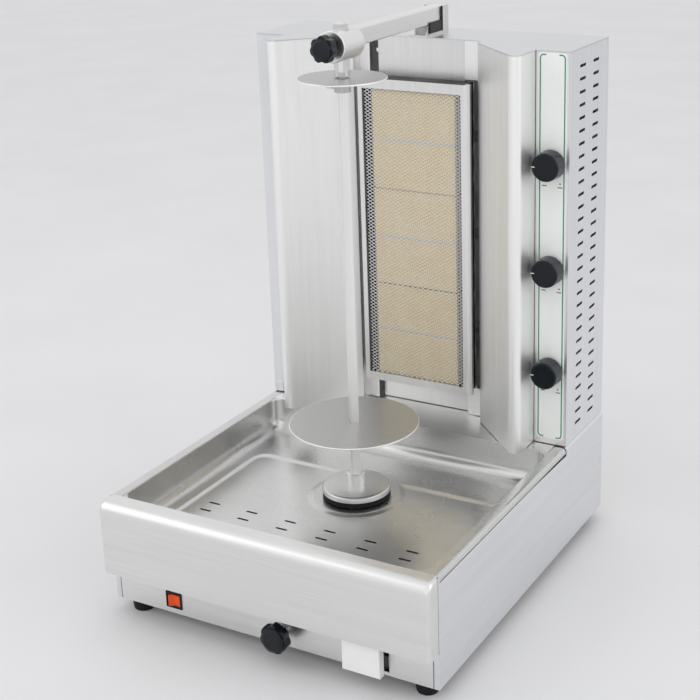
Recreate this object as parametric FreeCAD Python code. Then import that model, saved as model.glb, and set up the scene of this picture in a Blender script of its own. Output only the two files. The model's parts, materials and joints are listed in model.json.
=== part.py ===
import FreeCAD, Part
import math
import os

# Vertical gas rotisserie oven: a deep tray with a motor-driven spit in front of three
# ceramic burners, which stand in a folded steel tower behind it.
#
# Millimetres, +Z up. The model is laid out with X = 0 on the middle plane, Z = 0 on the
# table and Y = 0 on the front of the apron, +Y towards the back. write() then moves every
# piece so that the origin is in the middle of the footprint.

V = FreeCAD.Vector
X_AXIS = V(1, 0, 0)
Y_AXIS = V(0, 1, 0)
Z_AXIS = V(0, 0, 1)

# ---------------------------------------------------------------- driving dimensions
SHEET = 1.5                 # stainless sheet
HALF_W = 270.0              # half the width of the base
Y_PLINTH = 26.5             # front plane of the plinth and of the base side panels
Y_TOWER = 465.0             # front plane of the tower
Y_BACK = 618.0              # outside of the back panel
Y_INLET_END = 646.0         # end of the gas inlet, the rearmost point
Y_KNOB = -9.0               # face of the adjuster's knob, the foremost point
Z_BASE = 21.0               # underside of the base
Z_APRON = 75.5              # lower edge of the apron
Z_RIM = 189.0               # top of the base
Z_TOWER = 190.2             # lower edge of the tower sheets
Z_TOWER_TOP = 800.2         # upper edge of the tower sheets
Z_CAP = 802.0               # top of the tower
TOWER_HALF = 268.0          # half the width of the tower

SPIT_Y = 280.0              # spit axis, on X = 0
ROD_SIDE = 12.0             # square spit rod
SHAFT_R = 10.0
JOURNAL_R = 8.0
TURNTABLE_R = 52.5
Z_TURNTABLE = 143.5
Z_COLLAR = 155.0
Z_COLLAR_TOP = 173.5
Z_ROD_SHOULDER = 779.5      # where the square rod becomes a round pin
Z_ROD_TOP = 800.0
PIN_R = 6.0
RUNNING_FIT = 0.08          # radial clearance of a shaft in its bearing
LOWER_DISC = (98.5, 253.0, 255.5)   # radius, underside, top
UPPER_DISC = (64.0, 776.5, 779.0)
DISC_HUB_H = 18.0

CARRIAGE_TRAVEL = 30.0      # how far the spit pulls forward from the burners

FLOOR_Z = 131.0             # top of the front basin of the drip pan
PLATEAU_Z = 135.0           # top of the raised rear part of the pan floor
PAN_HALF = 250.0
PAN_FRONT = 31.0
PAN_REAR = 437.0
PAN_BEND = 20.0
BOSS_R = 58.0               # round nose of the plateau in front of the turntable
PLATEAU_HALF = 237.0
PLATEAU_Y = 338.0

VALVE_X = 240.5             # column of gas taps and control knobs
KNOB_Z = (636.0, 474.0, 312.0)
KNOB_R = 22.5

BURNER_Z = 249.0            # lower edge of the lowest burner
BURNER_PITCH = 158.0
BURNER_COUNT = 3
TILE_W, TILE_T, TILE_H = 144.0, 13.0, 77.4

ARM_SIDE = 25.0
ARM_TOP = 844.5
ARM_FRONT, ARM_REAR = 308.0, 581.0
HEAD_R = 22.5
HEAD_Z = 825.0
HEAD_FRONT = 252.0
SLEEVE_R = 11.5

ADJUSTER_X, ADJUSTER_Z = 28.0, 46.5
SWITCH_X, SWITCH_Z = -164.0, 42.3
DRAWER_X0, DRAWER_X1 = 131.0, 190.0
GAS_X, GAS_Z = VALVE_X, 120.0
CABLE_X, CABLE_Z = -200.0, 60.0

FOOT_PLACES = [(x, y) for y in (50.0, 578.0) for x in (-240.0, 240.0)]
Y_DRAWER = 19.0             # where the drawer's tray meets its front
SPOUT_X = 160.0             # the gutter's outlet, over the drawer
ROCKER_Y = 32.0
PIVOT_R = 1.6
ROCKER_TILT = 12.0
SLEEVE_BOTTOM = 781.0
SHIELD_PATH = [(213.4, 466.0), (213.4, 393.8), (108.0, 494.8), (108.0, 516.0)]
SHIELD_BENDS = [0, 10.25, 2.5, 2.0, 0]
MANIFOLD_Y = 545.0
VENTURI_Y = 562.0
PLUNGER_R = 5.4
PLUNGER_Y = 482.0
INLET_R = 10.48

GEAR_MODULE = 1.75
WHEEL_TEETH = 45
PINION_TEETH = 15
PRESSURE_ANGLE = math.radians(25.0)
GEAR_BACKLASH = 0.30
GEAR_Z0, GEAR_Z1 = 97.0, 107.0
PINION_Y = SPIT_Y + GEAR_MODULE * (WHEEL_TEETH + PINION_TEETH) / 2.0
PLATE_Z0, PLATE_Z1 = 112.0, 115.0
TUB_Z0 = 90.0

Y_MIDDLE = (Y_KNOB + Y_INLET_END) / 2.0


# ---------------------------------------------------------------- shape helpers
def block(x0, x1, y0, y1, z0, z1):
    return Part.makeBox(x1 - x0, y1 - y0, z1 - z0, V(x0, y0, z0))


def slab(half_x, y0, y1, z0, z1):
    """A block centred on X = 0."""
    return block(-half_x, half_x, y0, y1, z0, z1)


def post(x, y, z0, z1, radius, top_radius=None):
    """A vertical cylinder, or a cone when its top radius differs."""
    if top_radius is None:
        return Part.makeCylinder(radius, z1 - z0, V(x, y, z0), Z_AXIS)
    return Part.makeCone(radius, top_radius, z1 - z0, V(x, y, z0), Z_AXIS)


def bar_y(x, z, y0, y1, radius):
    return Part.makeCylinder(radius, y1 - y0, V(x, y0, z), Y_AXIS)


def bar_x(y, z, x0, x1, radius):
    return Part.makeCylinder(radius, x1 - x0, V(x0, y, z), X_AXIS)


def fuse(shapes):
    result = shapes[0]
    for shape in shapes[1:]:
        result = result.fuse(shape)
    return result.removeSplitter()


def cut(shape, tools):
    for tool in tools:
        shape = shape.cut(tool)
    return shape


def mirrored(shape):
    """The same shape on the other side of the middle plane."""
    return shape.mirror(V(0, 0, 0), X_AXIS)


def fillet_where(shape, radius, test):
    """Rounds the edges whose middle point passes the test."""
    edges = [e for e in shape.Edges if test(e)]
    return shape.makeFillet(radius, edges)


def along(edge, axis):
    """True when a straight edge runs along the axis."""
    if edge.Curve.TypeId != "Part::GeomLine":
        return False
    return abs(abs(edge.tangentAt(edge.FirstParameter).dot(axis)) - 1.0) < 1e-6


def middle(edge):
    return edge.CenterOfMass


def corner_arc(before, corner, after, radius):
    """The arc that rounds a corner, as its start, middle and end points."""
    u = (before - corner).normalize()
    w = (after - corner).normalize()
    half = u.getAngle(w) / 2.0
    reach = radius / math.tan(half)
    bisector = (u + w).normalize()
    nearest = corner + bisector * (radius / math.sin(half) - radius)
    return corner + u * reach, nearest, corner + w * reach


def outline(points, radii):
    """A closed wire through the points, each corner rounded to its radius (0 is sharp)."""
    count = len(points)
    edges = []
    stops = []
    for i, point in enumerate(points):
        if radii[i] > 0:
            stops.append(corner_arc(points[i - 1], point, points[(i + 1) % count], radii[i]))
        else:
            stops.append((point, None, point))
    for i in range(count):
        start, through, end = stops[i]
        if through is not None:
            edges.append(Part.Arc(start, through, end).toShape())
        following = stops[(i + 1) % count][0]
        if end.distanceToPoint(following) > 1e-6:
            edges.append(Part.makeLine(end, following))
    return Part.Wire(edges)


def face_xy(points, radii=None, z=0.0):
    corners = [V(x, y, z) for x, y in points]
    return Part.Face(outline(corners, radii or [0] * len(corners)))


def face_xz(points, radii=None, y=0.0):
    corners = [V(x, y, z) for x, z in points]
    return Part.Face(outline(corners, radii or [0] * len(corners)))


def face_yz(points, radii=None, x=0.0):
    corners = [V(x, y, z) for y, z in points]
    return Part.Face(outline(corners, radii or [0] * len(corners)))


def sheet_outline(path, radii):
    """Both sides of a folded sheet's middle line: its closed corner points and their radii."""
    sides = []
    for side in (1.0, -1.0):
        points, bends = [], []
        for i, (x, y) in enumerate(path):
            normals = []
            for a, b in ((i - 1, i), (i, i + 1)):
                if a >= 0 and b < len(path):
                    dx, dy = path[b][0] - path[a][0], path[b][1] - path[a][1]
                    length = math.hypot(dx, dy)
                    normals.append((-dy / length, dx / length))
            nx = sum(n[0] for n in normals)
            ny = sum(n[1] for n in normals)
            scale = 2.0 / (nx * nx + ny * ny) * len(normals) / 2.0
            if len(normals) == 1:
                scale = 1.0
            offset = side * SHEET / 2.0 * scale
            points.append((x + nx * offset, y + ny * offset))
            bend = radii[i]
            if bend > 0:
                cross = normals[0][0] * normals[1][1] - normals[0][1] * normals[1][0]
                inner = (cross > 0) == (side > 0)
                bend += -SHEET / 2.0 if inner else SHEET / 2.0
            bends.append(bend)
        sides.append((points, bends))
    (left, left_bends), (right, right_bends) = sides
    return left + right[::-1], left_bends + right_bends[::-1]


def folded_upright(path, radii, z0, z1):
    """A sheet folded about vertical bends: path in X and Y."""
    points, bends = sheet_outline(path, radii)
    return face_xy(points, bends, z0).extrude(V(0, 0, z1 - z0))


def folded_lengthways(path, radii, y0, y1):
    """A sheet folded about bends that run front to back: path in X and Z."""
    points, bends = sheet_outline(path, radii)
    return face_xz(points, bends, y0).extrude(V(0, y1 - y0, 0))


def slot_y(x, y, z0, z1, length, width):
    """A round-ended slot cutter along X, standing upright."""
    half = (length - width) / 2.0
    body = block(x - half, x + half, y - width / 2.0, y + width / 2.0, z0, z1)
    ends = [post(x + s * half, y, z0, z1, width / 2.0) for s in (-1, 1)]
    return fuse([body] + ends)


def square_prism(x, y, side, z0, z1):
    """A square column with its corners towards X and Y."""
    reach = side / math.sqrt(2.0)
    points = [(x + reach, y), (x, y + reach), (x - reach, y), (x, y - reach)]
    return face_xy(points, None, z0).extrude(V(0, 0, z1 - z0))


def hexagon(x, z, y0, y1, radius):
    """A hexagonal bar along Y; radius is to its corners."""
    points = []
    for k in range(6):
        angle = math.radians(60 * k + 30)
        points.append((x + radius * math.cos(angle), z + radius * math.sin(angle)))
    return face_xz(points, None, y0).extrude(V(0, y1 - y0, 0))


def turned(profile, x, y):
    """A solid of revolution about the vertical line through x, y; profile in radius and Z."""
    corners = [V(x + r, y, z) for r, z in profile]
    return Part.Face(outline(corners, [0] * len(corners))).revolve(V(x, y, 0), Z_AXIS, 360)


def turned_y(profile, x, z):
    """A solid of revolution about the line along Y through x, z; profile in radius and Y."""
    corners = [V(x + r, y, z) for r, y in profile]
    return Part.Face(outline(corners, [0] * len(corners))).revolve(V(x, 0, z), Y_AXIS, 360)


PARTS = []


def write(node, shapes):
    """Writes one node: a single solid, or a group of separate ones."""
    solids = shapes if isinstance(shapes, list) else [shapes]
    for shape in solids:
        shape.translate(V(0, -Y_MIDDLE, 0))
        if not shape.isValid() or len(shape.Solids) != 1:
            raise ValueError("%s is not one valid solid" % node)
    result = solids[0] if len(solids) == 1 else Part.makeCompound(solids)
    result.exportStep(os.path.join("parts", node + ".step"))
    PARTS.append(node)


# ---------------------------------------------------------------- base
def base_floor():
    floor = slab(HALF_W - SHEET - 0.5, Y_PLINTH + 1.7, Y_BACK - 1.7, Z_BASE, Z_BASE + SHEET)
    holes = [post(x, y, 0, 40, 4.3) for x, y in FOOT_PLACES]
    vents = [block(x - 3, x + 3, 290, 360, 0, 40) for x in range(-60, 61, 20)]
    return cut(floor, holes + vents)


def base_side_panel():
    """The right side panel; its top is low in front, where the pan's lip covers it."""
    profile = [
        (Y_PLINTH, Z_BASE), (Y_BACK, Z_BASE), (Y_BACK, Z_RIM - 20), (463, Z_RIM - 20),
        (463, 176.3), (330, 179.3), (30.9, 179.3), (30.9, 187.2), (Y_PLINTH, 187.2),
    ]
    wall = face_yz(profile, None, HALF_W - SHEET).extrude(V(SHEET, 0, 0))
    front_flange = block(262, HALF_W - SHEET, Y_PLINTH, Y_PLINTH + SHEET, Z_BASE, 178)
    mid = SHEET / 2.0
    top_path = [(262, Z_RIM - mid), (HALF_W - mid, Z_RIM - mid), (HALF_W - mid, Z_RIM - 20)]
    top_bend = folded_lengthways(top_path, [0, 5, 0], 463, Y_BACK)
    back_notch = block(261, TOWER_HALF - SHEET, Y_BACK - SHEET - 0.2, Y_BACK + 1, 180, Z_RIM + 1)
    return fuse([wall, front_flange, top_bend.cut(back_notch)])


def plinth_front():
    panel = slab(261.7, Y_PLINTH, Y_PLINTH + SHEET, Z_BASE, 178)
    y0, y1 = Y_PLINTH - 1, Y_PLINTH + SHEET + 1
    switch_hole = block(SWITCH_X - 12.9, SWITCH_X + 12.9, y0, y1, SWITCH_Z - 11, SWITCH_Z + 11)
    rod_hole = bar_y(ADJUSTER_X, ADJUSTER_Z, y0, y1, 6.0)
    drawer_hole = block(DRAWER_X0 + 1.5, DRAWER_X1 + 4.2, y0, y1, 26.3, 72)
    return cut(panel, [switch_hole, rod_hole, drawer_hole])


def front_apron():
    """A deep rounded lip, hollow from behind; only its top reaches back to the pan."""
    def body(inset, y1, z0, top_bend, side_bend):
        shell = slab(HALF_W - inset, inset, y1, z0, Z_RIM - inset)
        top_front = lambda e: middle(e).z > Z_RIM - 3 and middle(e).y < inset + 0.1
        shell = fillet_where(shell, top_bend, top_front)
        upright = lambda e: along(e, Z_AXIS) and middle(e).y < inset + 0.1
        return fillet_where(shell, side_bend, upright)

    outer = body(0, PAN_FRONT - 0.2, Z_APRON, 16.0, 6.75)
    inner = body(SHEET, PAN_FRONT + 5, Z_APRON - 5, 14.5, 5.25)
    behind = slab(HALF_W + 1, Y_PLINTH - 0.2, PAN_FRONT + 1, Z_APRON - 1, Z_RIM - SHEET)
    return cut(outer, [inner, behind])


def plateau(inset, z0, z1):
    """The raised rear floor of the pan with its round nose before the turntable."""
    half = PLATEAU_HALF - inset
    y = PLATEAU_Y + inset
    nose = BOSS_R - inset
    points = [
        (-half, PAN_REAR - 18), (-half, y), (-nose - 14, y), (-nose, SPIT_Y + 18),
        (-nose, SPIT_Y), (-nose, SPIT_Y - nose), (nose, SPIT_Y - nose), (nose, SPIT_Y),
        (nose, SPIT_Y + 18), (nose + 14, y), (half, y), (half, PAN_REAR - 18),
    ]
    radii = [0, 14, 20, 30, 0, nose - 0.01, nose - 0.01, 0, 30, 20, 14, 0]
    return face_xy(points, radii, z0).extrude(V(0, 0, z1 - z0))


def drip_pan():
    """The deep-drawn drip pan with its side rims, drain slots and the spit shaft's slot."""
    def tub(inset, z0, z1, bend):
        shape = slab(PAN_HALF - inset, PAN_FRONT + inset, PAN_REAR - inset, z0, z1)
        shape = fillet_where(shape, bend, lambda e: along(e, Z_AXIS))
        return fillet_where(shape, bend, lambda e: middle(e).z < z0 + 0.1)

    z_flange = Z_RIM - SHEET - 0.1
    outer = tub(-SHEET, FLOOR_Z - SHEET, z_flange, PAN_BEND + SHEET)
    inner = tub(0, FLOOR_Z, Z_RIM + 5, PAN_BEND)
    front_flange = block(-262, 262, 17, PAN_FRONT, z_flange - SHEET, z_flange)
    rear_flange = block(-230, 230, PAN_REAR, PAN_REAR + 14, z_flange - SHEET, z_flange)
    mid = SHEET / 2.0
    rim_path = [(PAN_HALF - 6, Z_RIM - mid), (HALF_W - mid, Z_RIM - mid), (HALF_W - mid, 180)]
    rim = folded_lengthways(rim_path, [0, 6, 0], PAN_FRONT, 461)
    rim_seat = block(PAN_HALF - 6, PAN_HALF + 4, PAN_FRONT, PAN_REAR, z_flange - 1, Z_RIM - SHEET)
    rims = [rim, rim_seat, mirrored(rim), mirrored(rim_seat)]
    pan = fuse([outer, front_flange, rear_flange] + rims)
    deck_notch = block(-PAN_HALF, PAN_HALF, PAN_REAR + 0.1, 470, z_flange + 0.1, Z_RIM + 1)
    pan = cut(pan, [inner, deck_notch])
    pan = fuse([pan, plateau(0, FLOOR_Z - 0.2, PLATEAU_Z)])
    pan = pan.cut(plateau(SHEET, FLOOR_Z - SHEET - 1, PLATEAU_Z - SHEET))
    wall = shaft_slot(SHAFT_R + 1.2 + SHEET, PLATEAU_Z - SHEET, PLATEAU_Z + 4)
    pan = fuse([pan, wall])
    slots = [shaft_slot(SHAFT_R + 1.2, FLOOR_Z - 5, PLATEAU_Z + 9)]
    for column in range(6):
        for y in (137.0, 161.0):
            slots.append(slot_y(-181.5 + 68.3 * column, y, FLOOR_Z - 5, FLOOR_Z + 5, 20, 4))
    return cut(pan, slots)


def shaft_slot(radius, z0, z1):
    """The long hole that the spit shaft moves in."""
    y0, y1 = SPIT_Y - CARRIAGE_TRAVEL, SPIT_Y
    ends = [post(0, y, z0, z1, radius) for y in (y0, y1)]
    return fuse([slab(radius, y0, y1, z0, z1)] + ends)


def rear_deck():
    points = [
        (-249.8, PAN_REAR + 0.2), (249.8, PAN_REAR + 0.2), (249.8, 463.2), (261.8, 463.2),
        (261.8, Y_BACK - 1.7), (-261.8, Y_BACK - 1.7), (-261.8, 463.2), (-249.8, 463.2),
    ]
    deck = face_xy(points, None, Z_RIM - SHEET).extrude(V(0, 0, SHEET))
    pipe_hole = post(GAS_X, MANIFOLD_Y, Z_RIM - 10, Z_RIM + 10, 12)
    cable_hole = post(-200, 570, Z_RIM - 10, Z_RIM + 10, 8)
    return cut(deck, [pipe_hole, cable_hole])


def foot(x, y):
    pad = post(x, y, 0, Z_BASE, 15.5, 18.0)
    pad = fillet_where(pad, 2.0, lambda e: middle(e).z < 0.1)
    return fuse([pad, post(x, y, Z_BASE, Z_BASE + 12, 4.0)])


# ---------------------------------------------------------------- grease collection
def drawer_tray():
    outer = block(DRAWER_X0 + 2.5, DRAWER_X1 - 2.5, Y_DRAWER, 232, 27.5, 66)
    inner = block(DRAWER_X0 + 3.7, DRAWER_X1 - 3.7, Y_DRAWER + 1.2, 230.8, 28.7, 70)
    return outer.cut(inner)


def drawer_front():
    """The white enamelled front, a shallow box welded to the tray."""
    front = block(DRAWER_X0, DRAWER_X1, 7, Y_DRAWER, 25, 74.5)
    front = fillet_where(front, 2.0, lambda e: middle(e).y < 7.1)
    return front.cut(block(DRAWER_X0 + 2.0, DRAWER_X1 - 2.0, 9.0, Y_DRAWER - 1.5, 27.0, 72.5))


def drawer_runner():
    """The right-hand runner: an upright leg with a ledge under the drawer."""
    leg = block(DRAWER_X1 - 1.5, DRAWER_X1, 34, 240, Z_BASE + SHEET, 45)
    ledge = block(DRAWER_X1 - 10, DRAWER_X1 - 1.5, 34, 240, 25.5, 27.2)
    return fuse([leg, ledge])


def grease_gutter():
    """The sloping trough under the drain slots, with its spout over the drawer."""
    x0, x1, y0, y1 = -205.0, 196.0, 122.0, 174.0
    outer_points = [(x0, 104), (x1, 84), (x1, 127), (x0, 127)]
    t = SHEET
    inner_points = [(x0 + t, 104 + t), (x1 - t, 84 + t), (x1 - t, 130), (x0 + t, 130)]
    outer = face_xz(outer_points, None, y0).extrude(V(0, y1 - y0, 0))
    inner = face_xz(inner_points, None, y0 + t).extrude(V(0, y1 - y0 - 2 * t, 0))
    spout = post(SPOUT_X, 148, 72, 88, 11)
    spout_bore = post(SPOUT_X, 148, 70, 95, 9.5)
    tabs = [block(x, x + 40, Y_PLINTH + 1.7, y0 + 1, 125.5, 127) for x in (-150, 60)]
    trough = fuse([outer, spout] + tabs)
    return cut(trough, [inner, spout_bore])


# ---------------------------------------------------------------- mains switch
def switch_housing():
    x, z = SWITCH_X, SWITCH_Z
    bezel = block(x - 13.8, x + 13.8, 24.5, Y_PLINTH - 0.05, z - 12.75, z + 12.75)
    bezel = fillet_where(bezel, 1.0, lambda e: middle(e).y < 24.6)
    body = block(x - 12.6, x + 12.6, Y_PLINTH - 1, 50, z - 10.7, z + 10.7)
    blades = [block(x + dx - 3, x + dx + 3, 50, 58, z - 0.4, z + 0.4) for dx in (-7, 7)]
    pocket = block(x - 11.5, x + 11.5, 20, 44, z - 9.4, z + 9.4)
    pivot = post(x, ROCKER_Y, z - 10.3, z + 10.3, PIVOT_R + 0.05)
    return cut(fuse([bezel, body] + blades), [pocket, pivot])


def switch_rocker():
    """The rocker at rest, with its right end pressed in."""
    x, y = SWITCH_X, ROCKER_Y
    points = [(-9.6, -8.5), (0, -5.5), (9.6, -8.5), (9.6, -1), (4, 5), (-4, 5), (-9.6, -1)]
    corners = [(x + a, y + b) for a, b in points]
    body = face_xy(corners, [0.8, 6, 0.8, 0, 0, 0, 0], SWITCH_Z - 9).extrude(V(0, 0, 18))
    body.rotate(V(x, y, 0), Z_AXIS, ROCKER_TILT)
    return fuse([body, post(x, y, SWITCH_Z - 10.2, SWITCH_Z + 10.2, PIVOT_R)])


# ---------------------------------------------------------------- motor carriage
def carriage_rail():
    """The right rail: the carriage plate lies on its top flange."""
    web = block(88, 89.5, 180, 425, Z_BASE + SHEET, PLATE_Z0 - 0.2)
    foot_flange = block(89.5, 104, 180, 425, Z_BASE + SHEET, Z_BASE + 2 * SHEET)
    top_flange = block(78, 88, 180, 425, PLATE_Z0 - 0.2 - SHEET, PLATE_Z0 - 0.2)
    return fuse([web, foot_flange, top_flange])


def motor_carriage():
    plate = slab(86, 207, 400, PLATE_Z0, PLATE_Z1)
    plate = fillet_where(plate, 6, lambda e: along(e, Z_AXIS))
    tab = block(ADJUSTER_X - 14, ADJUSTER_X + 14, 208, 214, ADJUSTER_Z - 12, PLATE_Z0)
    bearing = post(0, SPIT_Y, PLATE_Z1, PLATE_Z1 + 9, 16)
    holes = [
        post(0, SPIT_Y, 80, 130, SHAFT_R + RUNNING_FIT),
        bar_y(ADJUSTER_X, ADJUSTER_Z, 200, 220, 5.0 + RUNNING_FIT),
    ]
    return cut(fuse([plate, tab, bearing]), holes)


def gearbox_housing():
    """The tub of the reduction gear; the carriage plate is its lid."""
    outer = slab(46, 235, 357, TUB_Z0, PLATE_Z0)
    outer = fillet_where(outer, 14, lambda e: along(e, Z_AXIS))
    inner = slab(43.5, 237.5, 354.5, TUB_Z0 + 2, PLATE_Z0 + 1)
    inner = fillet_where(inner, 11.5, lambda e: along(e, Z_AXIS))
    bearing = post(0, SPIT_Y, TUB_Z0 - 6, TUB_Z0 + 1, 14)
    holes = [
        post(0, SPIT_Y, 60, 110, JOURNAL_R + RUNNING_FIT),
        post(0, PINION_Y, 60, 110, 5.0),
    ]
    return cut(fuse([outer.cut(inner), bearing]), holes)


def drive_motor():
    can = post(0, PINION_Y, 34, TUB_Z0, 31)
    can = fillet_where(can, 3, lambda e: middle(e).z < 35)
    ears = slab(40, PINION_Y - 7, PINION_Y + 7, TUB_Z0 - 2, TUB_Z0)
    bore = post(0, PINION_Y, 74, 95, 3.0 + RUNNING_FIT)
    return cut(fuse([can, ears]), [bore])


def gear_face(teeth, x, y, first_angle, z):
    """An involute spur gear's outline, its first tooth centred on first_angle."""
    pitch_r = GEAR_MODULE * teeth / 2.0
    base_r = pitch_r * math.cos(PRESSURE_ANGLE)
    tip_r = pitch_r + 0.85 * GEAR_MODULE
    root_r = pitch_r - 1.15 * GEAR_MODULE
    involute = lambda a: math.tan(a) - a
    half_tooth = math.pi / (2 * teeth) - GEAR_BACKLASH / (2 * pitch_r)

    def half_angle(radius):
        """Half the tooth's angle at a radius."""
        pressure = math.acos(min(1.0, base_r / radius))
        return half_tooth + involute(PRESSURE_ANGLE) - involute(pressure)

    flank = [root_r]
    flank += [max(base_r, root_r) + (tip_r - max(base_r, root_r)) * k / 3.0 for k in range(4)]
    flank = [r for i, r in enumerate(flank) if i == 0 or r > flank[0] + 1e-6]
    corners = []
    for tooth in range(teeth):
        centre = first_angle + 2 * math.pi * tooth / teeth
        for sign, radii in ((-1, flank), (1, flank[::-1])):
            for radius in radii:
                angle = centre + sign * half_angle(max(radius, base_r))
                corners.append((x + radius * math.cos(angle), y + radius * math.sin(angle)))
    return face_xy(corners, None, z)


def drive_gear():
    angle = math.pi / 2
    wheel = gear_face(WHEEL_TEETH, 0, SPIT_Y, angle, GEAR_Z0).extrude(V(0, 0, GEAR_Z1 - GEAR_Z0))
    recess = post(0, SPIT_Y, GEAR_Z1 - 3, GEAR_Z1 + 1, 32).cut(
        post(0, SPIT_Y, GEAR_Z1 - 4, GEAR_Z1 + 2, 16))
    return cut(wheel, [post(0, SPIT_Y, 90, 120, SHAFT_R + 0.02), recess])


def motor_pinion():
    """The motor's pinion: a gap between two teeth faces the wheel."""
    angle = -math.pi / 2 + math.pi / PINION_TEETH
    gear = gear_face(PINION_TEETH, 0, PINION_Y, angle, GEAR_Z0 - 1)
    gear = gear.extrude(V(0, 0, GEAR_Z1 - GEAR_Z0 + 2))
    return fuse([gear, post(0, PINION_Y, 76, GEAR_Z0, 3.0)])


# ---------------------------------------------------------------- spit
def drive_shaft():
    """The upright output shaft; its head is the socket that takes the spit rod."""
    profile = [
        (0, TUB_Z0 - 5), (JOURNAL_R, TUB_Z0 - 5), (JOURNAL_R, GEAR_Z0), (SHAFT_R, GEAR_Z0),
        (SHAFT_R, Z_COLLAR), (15, Z_COLLAR), (15, Z_COLLAR_TOP - 1.2),
        (13.8, Z_COLLAR_TOP), (0, Z_COLLAR_TOP),
    ]
    shaft = turned(profile, 0, SPIT_Y)
    return shaft.cut(square_prism(0, SPIT_Y, ROD_SIDE + 0.1, Z_COLLAR + 2, Z_COLLAR_TOP + 1))


def turntable():
    """The domed plate under the spit, with a rounded edge."""
    z = Z_TURNTABLE
    profile = [
        (SHAFT_R + 0.02, z), (TURNTABLE_R - 1, z), (TURNTABLE_R, z + 1), (TURNTABLE_R, z + 5.2),
        (TURNTABLE_R - 0.6, z + 7), (TURNTABLE_R - 2, z + 8.3), (TURNTABLE_R - 4.5, z + 9.2),
        (32, z + 10.6), (15.3, z + 11.3), (15.3, Z_COLLAR - 0.02), (SHAFT_R + 0.02, Z_COLLAR - 0.02),
    ]
    return turned(profile, 0, SPIT_Y)


def turntable_seal():
    ring = post(0, SPIT_Y, PLATEAU_Z + 1.2, Z_TURNTABLE, 52.0)
    return ring.cut(post(0, SPIT_Y, PLATEAU_Z, Z_TURNTABLE + 1, 46.5))


def spit_rod():
    square = square_prism(0, SPIT_Y, ROD_SIDE, Z_COLLAR + 2.1, Z_ROD_SHOULDER)
    pin = post(0, SPIT_Y, Z_ROD_SHOULDER, Z_ROD_TOP - 1.5, PIN_R)
    tip = post(0, SPIT_Y, Z_ROD_TOP - 1.5, Z_ROD_TOP, PIN_R, PIN_R - 1.5)
    return fuse([square, pin, tip])


def spit_disc(disc, hub_r):
    """A meat disc with its hub underneath, loose on the square rod."""
    radius, z0, z1 = disc
    plate = post(0, SPIT_Y, z0, z1, radius)
    plate = fillet_where(plate, 1.0, lambda e: middle(e).z > z1 - 0.1 or middle(e).z < z0 + 0.1)
    hub = post(0, SPIT_Y, z0 - DISC_HUB_H, z0 + 1, hub_r)
    holes = [
        square_prism(0, SPIT_Y, ROD_SIDE + 0.7, z0 - DISC_HUB_H - 1, z1 + 1),
        bar_x(SPIT_Y, z0 - DISC_HUB_H / 2, -hub_r - 1, 0, 3.0 + RUNNING_FIT),
    ]
    return cut(fuse([plate, hub]), holes)


def disc_screw(disc, hub_r):
    """The thumb screw that holds a disc on the rod."""
    z = disc[1] - DISC_HUB_H / 2
    shank = bar_x(SPIT_Y, z, -hub_r - 4, -9.0, 3.0)
    head = bar_x(SPIT_Y, z, -hub_r - 13, -hub_r - 3, 6.0)
    head = fillet_where(head, 1.0, lambda e: middle(e).x < -hub_r - 12)
    return fuse([shank, head])


# ---------------------------------------------------------------- star knobs
def star_knob(x, z, y0, y1, outer_r):
    """A seven-lobed hand knob that faces the front."""
    lobes, waist_r = 7, outer_r - 2.8
    corners = []
    for k in range(lobes * 2):
        angle = math.pi * k / lobes + math.pi / 2
        radius = outer_r + 1.6 if k % 2 == 0 else waist_r - 1.2
        corners.append((x + radius * math.cos(angle), z + radius * math.sin(angle)))
    radii = [5.0 if k % 2 == 0 else 3.5 for k in range(lobes * 2)]
    star = face_xz(corners, radii, y0 + 4).extrude(V(0, y1 - y0 - 4, 0))
    rounded = turned_y([(0, y0 + 4), (outer_r - 2, y0 + 4), (outer_r, y0 + 6.5),
                        (outer_r, y1 - 2), (outer_r - 2, y1), (0, y1)], x, z)
    face_r = waist_r - 1.2
    face = turned_y([(0, y0), (face_r - 5, y0), (face_r - 0.5, y0 + 2), (face_r, y0 + 4.5),
                     (0, y0 + 4.5)], x, z)
    return fuse([star.common(rounded), face])


def head_knob():
    y0 = HEAD_FRONT - 29
    knob = star_knob(0, HEAD_Z, y0, y0 + 18, 20.0)
    stud = bar_y(0, HEAD_Z, y0 + 17, SPIT_Y - SLEEVE_R - 0.4, 4.0)
    boss = bar_y(0, HEAD_Z, y0 + 17, HEAD_FRONT - 1.0, 6.5)
    return fuse([knob, boss, stud])


def adjuster_knob():
    """The larger knob low down in front, with its hub behind."""
    knob = star_knob(ADJUSTER_X, ADJUSTER_Z, Y_KNOB, Y_KNOB + 18, 22.5)
    return fuse([knob, bar_y(ADJUSTER_X, ADJUSTER_Z, Y_KNOB + 17, Y_KNOB + 20, 9.0)])


# ---------------------------------------------------------------- arm and head
def arm_bracket():
    """A post that holds the arm's rear end, and a guide under it that the arm slides along."""
    side = ARM_SIDE / 2
    floor = ARM_TOP - ARM_SIDE - 0.3
    base = slab(side + 3.3, 506, ARM_REAR, Z_CAP, Z_CAP + 4)
    post_foot = slab(side + 3.3, 562, ARM_REAR, Z_CAP, floor)
    cheek = block(side + 0.3, side + 3.3, 562, ARM_REAR, Z_CAP, ARM_TOP)
    guide = slab(side + 2.3, 522, 562, Z_CAP + 3, floor)
    lip = block(side + 0.3, side + 2.3, 522, 562, floor - 1, floor + 4)
    gusset = face_yz([(506, Z_CAP + 3), (522, Z_CAP + 3), (522, floor)], None, -side)
    gusset = gusset.extrude(V(2 * side, 0, 0))
    return fuse([base, post_foot, cheek, mirrored(cheek), guide, lip, mirrored(lip), gusset])


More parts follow.
